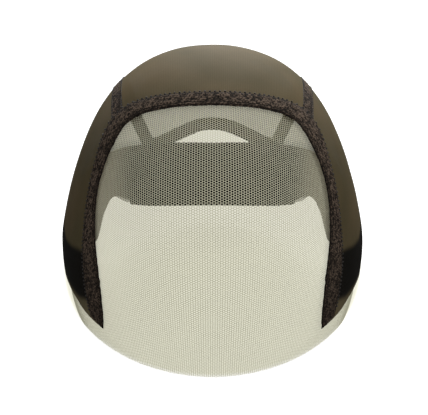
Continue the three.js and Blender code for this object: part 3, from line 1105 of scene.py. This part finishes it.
class WIGCAP_OT_velvet(bpy.types.Operator):
    """Lays the velvet grips inside the sides and across the nape"""

    bl_idname = "wigcap.velvet"
    bl_label = "Velvet grips"

    grip_start = 0.42

    def execute(self, context):
        paint = velvet_paint()
        upper = mirrored_level_line(NAPE_BAND_ROWS, 1)
        lower = mirrored_level_line(NAPE_BAND_ROWS, 2)
        self.lay("nape_velvet", upper, lower, 0, 140, 64, "nape_band", paint)
        for side in (LEFT, RIGHT):
            name = SIDE_NAMES[side]
            upper = level_line(SIDE_GRIP_ROWS, 1, side)
            lower = level_line(SIDE_GRIP_ROWS, 2, side)
            node = f"side_grip_{name}"
            self.lay(f"side_velvet_{name}", upper, lower, self.grip_start, 160, 56, node, paint)
        return {"FINISHED"}

    def lay(self, name, upper, lower, first_row, columns, rows, node, paint):
        sizes = looks()

        def place(u, v):
            top = unit(self.by_row(upper, first_row, u))
            foot = unit(self.by_row(lower, first_row, u))
            uneven = 0.00005 * ripples(u, v, sizes.seed + columns, 12, 14)
            return above_head(between(foot, top, v), sizes.velvet_thickness + uneven)

        mesh = cloth_grid(name, columns, rows, place, (upper.length(), 0.05))
        piece = finish_piece(name, mesh, paint, "velvet", node)
        thicken(piece, sizes.velvet_thickness * 0.9)

    def by_row(self, line, first_row, share):
        rows = first_row + share * (line.rows[-1] - first_row)
        return np.stack([np.interp(rows, line.rows, line.points[:, axis]) for axis in range(3)], axis=-1)


# Stitches


def thread_paint():
    paint = Paint("dark_thread")
    twist = paint.noise(paint.place(), 2600.0, 2.0)
    paint.set(base_color=paint.mix(twist, (0.006, 0.005, 0.004), (0.03, 0.024, 0.02)), roughness=0.7)
    return paint


class WIGCAP_OT_stitches(bpy.types.Operator):
    """Sews rows of short stitches along the tapes' edges"""

    bl_idname = "wigcap.stitches"
    bl_label = "Stitches"

    stitch_length = 0.0012
    stitch_width = 0.0009
    margin = 0.018
    inset = -0.0003
    arch_height = MESH_INSIDE + CLOTH_LAYER * 0.6 + 0.0006
    seam_height = MESH_INSIDE + CLOTH_LAYER * 0.6

    def execute(self, context):
        sizes = looks()
        paint = thread_paint()
        arch = lambda share: ARCH.column_at(share, ARCH_WIDTHS) * sizes.arch_tape_width / 2
        self.sew("arch_tape_stitches", ARCH, lambda share: arch(share) - self.inset, self.arch_height, paint)
        for side in (LEFT, RIGHT):
            half = sizes.seam_tape_width / 2
            name = SIDE_NAMES[side]
            for row, offset in (("inner", -side * half), ("outer", side * half)):
                constant = lambda share, offset=offset: np.full(len(share), offset)
                self.sew(f"seam_stitches_{row}_{name}", SEAMS[side], constant, self.seam_height, paint)
        return {"FINISHED"}

    def sew(self, name, line, offset, height, paint):
        sizes = looks()
        count = int(line.length() / sizes.stitch_pitch)
        share = self.margin + (1 - 2 * self.margin) * (np.arange(count) + 0.5) / count
        aside = offset(share)
        middles = above_head(line.beside(share, aside), np.full(count, height))
        ahead = above_head(line.beside(np.minimum(1, share + LINE_STEP), aside), np.full(count, height))
        normals = head_normals(line.beside(share, aside))
        runs = unit(ahead - middles)
        form = bmesh.new()
        for middle, run, normal in zip(middles[:-1], runs[:-1], normals[:-1]):
            turn = Matrix((run, np.cross(normal, run), normal)).transposed().to_4x4()
            size = Matrix.Diagonal((self.stitch_length / 2, self.stitch_width / 2, self.stitch_width / 2, 1))
            place = Matrix.Translation(Vector(middle)) @ turn @ size
            bmesh.ops.create_uvsphere(form, u_segments=6, v_segments=5, radius=1, matrix=place)
        mesh = bpy.data.meshes.new(name)
        form.to_mesh(mesh)
        form.free()
        smooth(mesh)
        finish_piece(name, mesh, paint, "tape")


# Stage


class WIGCAP_OT_stage(bpy.types.Operator):
    """Sets the pale glowing floor with a painted shadow under the cap, the soft lights and the camera"""

    bl_idname = "wigcap.stage"
    bl_label = "Stage"

    camera_elevation = math.radians(42)
    camera_distance = 0.781
    lens = 119.1
    frame_shift = (0.0037, 0.0759)
    floor_height = -0.161
    floor_radius = 60.0
    floor_glow = (0.93, 0.93, 0.93)
    shadow_front_glow = (0.73, 0.72, 0.58)
    shadow_rear_glow = (0.66, 0.645, 0.53)
    shade_middle = 0.04
    shade_width = 0.09
    shade_front = 0.093
    shade_back = 0.22
    world_strength = 0.2
    lights = (
        ("key", (1.0, 0.3, 0.85), 1.2, 6.5),
        ("overhead", (-0.1, -0.3, 1.4), 1.2, 3.0),
        ("back", (0.1, 1.6, 0.35), 1.0, 54.0),
        ("front fill", (-0.15, -1.7, 0.15), 1.0, 11.0),
    )

    def execute(self, context):
        self.set_camera()
        self.lay_floor()
        self.set_lights()
        context.scene.view_settings.view_transform = "Standard"
        return {"FINISHED"}

    def set_camera(self):
        data = bpy.data.cameras.new("camera")
        data.lens = self.lens
        data.sensor_width = 36
        data.shift_x, data.shift_y = self.frame_shift
        data.clip_start = 0.01
        camera = bpy.data.objects.new("camera", data)
        camera.location = (
            0,
            -self.camera_distance * math.cos(self.camera_elevation),
            self.camera_distance * math.sin(self.camera_elevation) - SEAT_HEIGHT,
        )
        camera.rotation_euler = (math.pi / 2 - self.camera_elevation, 0, 0)
        bpy.context.scene.collection.objects.link(camera)
        bpy.context.scene.camera = camera

    def lay_floor(self):
        form = bmesh.new()
        bmesh.ops.create_circle(form, cap_ends=True, segments=96, radius=self.floor_radius)
        mesh = bpy.data.meshes.new("floor")
        form.to_mesh(mesh)
        form.free()
        place_vertices(mesh, coordinates(mesh) + np.array([0, 0, self.floor_height]))
        floor = bpy.data.objects.new("floor", mesh)
        bpy.context.scene.collection.objects.link(floor)
        paint = Paint("pale_floor")
        # Painted shadow: in an oval under the cap that reaches far behind it, the floor glows less and warmer, from
        # front to back, and its base colour is darker
        across = paint.value("ShaderNodeSeparateXYZ", None, {0: paint.place()}, 0) * (1 / self.shade_width)
        along = paint.value("ShaderNodeSeparateXYZ", None, {0: paint.place()}, 1) - self.shade_middle
        along = (along * (1 / self.shade_back)).maths("MAXIMUM", along * (1 / self.shade_back), along * (-1 / self.shade_front))
        outside = paint.rise(across * across + along * along, 0.92, 1.02)
        depth = paint.value("ShaderNodeSeparateXYZ", None, {0: paint.place()}, 1)
        shaded = paint.mix(paint.rise(depth, 0.035, 0.09), self.shadow_front_glow, self.shadow_rear_glow)
        paint.set(
            base_color=paint.mix(outside, (0.15, 0.15, 0.15), (0.6, 0.6, 0.6)),
            roughness=0.9,
            emission_color=paint.mix(outside, shaded, self.floor_glow),
            emission_strength=1.0,
            specular_ior_level=0.0,
        )
        mesh.materials.append(paint.material)
        floor.visible_diffuse = False
        floor.visible_glossy = False
        floor.visible_shadow = False

    def set_lights(self):
        world = bpy.data.worlds.new("studio")
        world.use_nodes = True
        world.node_tree.nodes["Background"].inputs[0].default_value = (1, 1, 1, 1)
        world.node_tree.nodes["Background"].inputs[1].default_value = self.world_strength
        bpy.context.scene.world = world
        for name, place, size, power in self.lights:
            self.add_light(name, place, size, power)

    def add_light(self, name, place, size, power):
        data = bpy.data.lights.new(name, "AREA")
        data.shape = "DISK"
        data.size = size
        data.energy = power
        light = bpy.data.objects.new(name, data)
        light.location = place
        aim = Vector((0, 0, -0.08)) - Vector(place)
        light.rotation_euler = aim.to_track_quat("-Z", "Y").to_euler()
        bpy.context.scene.collection.objects.link(light)


class WIGCAP_PT_panel(bpy.types.Panel):
    """Lists the cap's sizes, colours and pieces"""

    bl_label = "Wig Cap"
    bl_idname = "WIGCAP_PT_panel"
    bl_space_type = "VIEW_3D"
    bl_region_type = "UI"
    bl_category = "Wig Cap"

    def draw(self, context):
        settings = context.scene.wig_cap_looks
        for name in settings.bl_rna.properties.keys():
            if name not in ("rna_type", "name"):
                self.layout.prop(settings, name)
        for piece in PIECES:
            self.layout.operator(piece.bl_idname)


PIECES = (
    WIGCAP_OT_lace_net,
    WIGCAP_OT_mesh_panels,
    WIGCAP_OT_tapes,
    WIGCAP_OT_velvet,
    WIGCAP_OT_stitches,
    WIGCAP_OT_stage,
)
CLASSES = (WigCapLooks, *PIECES, WIGCAP_PT_panel)


def register():
    for each in CLASSES:
        bpy.utils.register_class(each)
    bpy.types.Scene.wig_cap_looks = PointerProperty(type=WigCapLooks)


def unregister():
    del bpy.types.Scene.wig_cap_looks
    for each in reversed(CLASSES):
        bpy.utils.unregister_class(each)


def main():
    register()
    bpy.ops.wigcap.lace_net()
    bpy.ops.wigcap.mesh_panels()
    bpy.ops.wigcap.tapes()
    bpy.ops.wigcap.velvet()
    bpy.ops.wigcap.stitches()
    bpy.ops.wigcap.stage()


if __name__ == "__main__":
    main()
